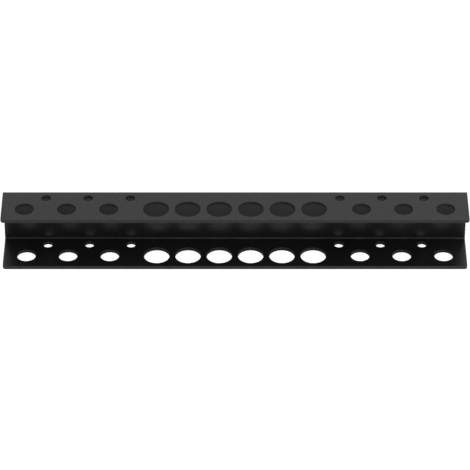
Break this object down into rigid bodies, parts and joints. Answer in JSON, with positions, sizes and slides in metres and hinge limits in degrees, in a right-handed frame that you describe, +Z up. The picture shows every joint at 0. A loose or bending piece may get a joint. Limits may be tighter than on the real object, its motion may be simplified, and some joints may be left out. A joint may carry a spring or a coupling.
{
  "type": "screwdriver rack",
  "caption": "Wall rack for hand tools, folded from black coated sheet steel: a back plate carries an upper and a lower shelf with matching rows of round holes.",
  "frame": {"origin": "middle of the rear face, which lies on the wall, half way along the rack and half way up it", "axes": "+X along the rack to the right seen from the front, +Y out of the rear face into the wall, +Z up; the open front faces -Y"},
  "size_m": [0.444, 0.049, 0.058],
  "materials": {
    "black_powder_coat": "satin"
  },
  "bodies": {
    "root": {"rack": "black_powder_coat"}
  },
  "joints": []
}
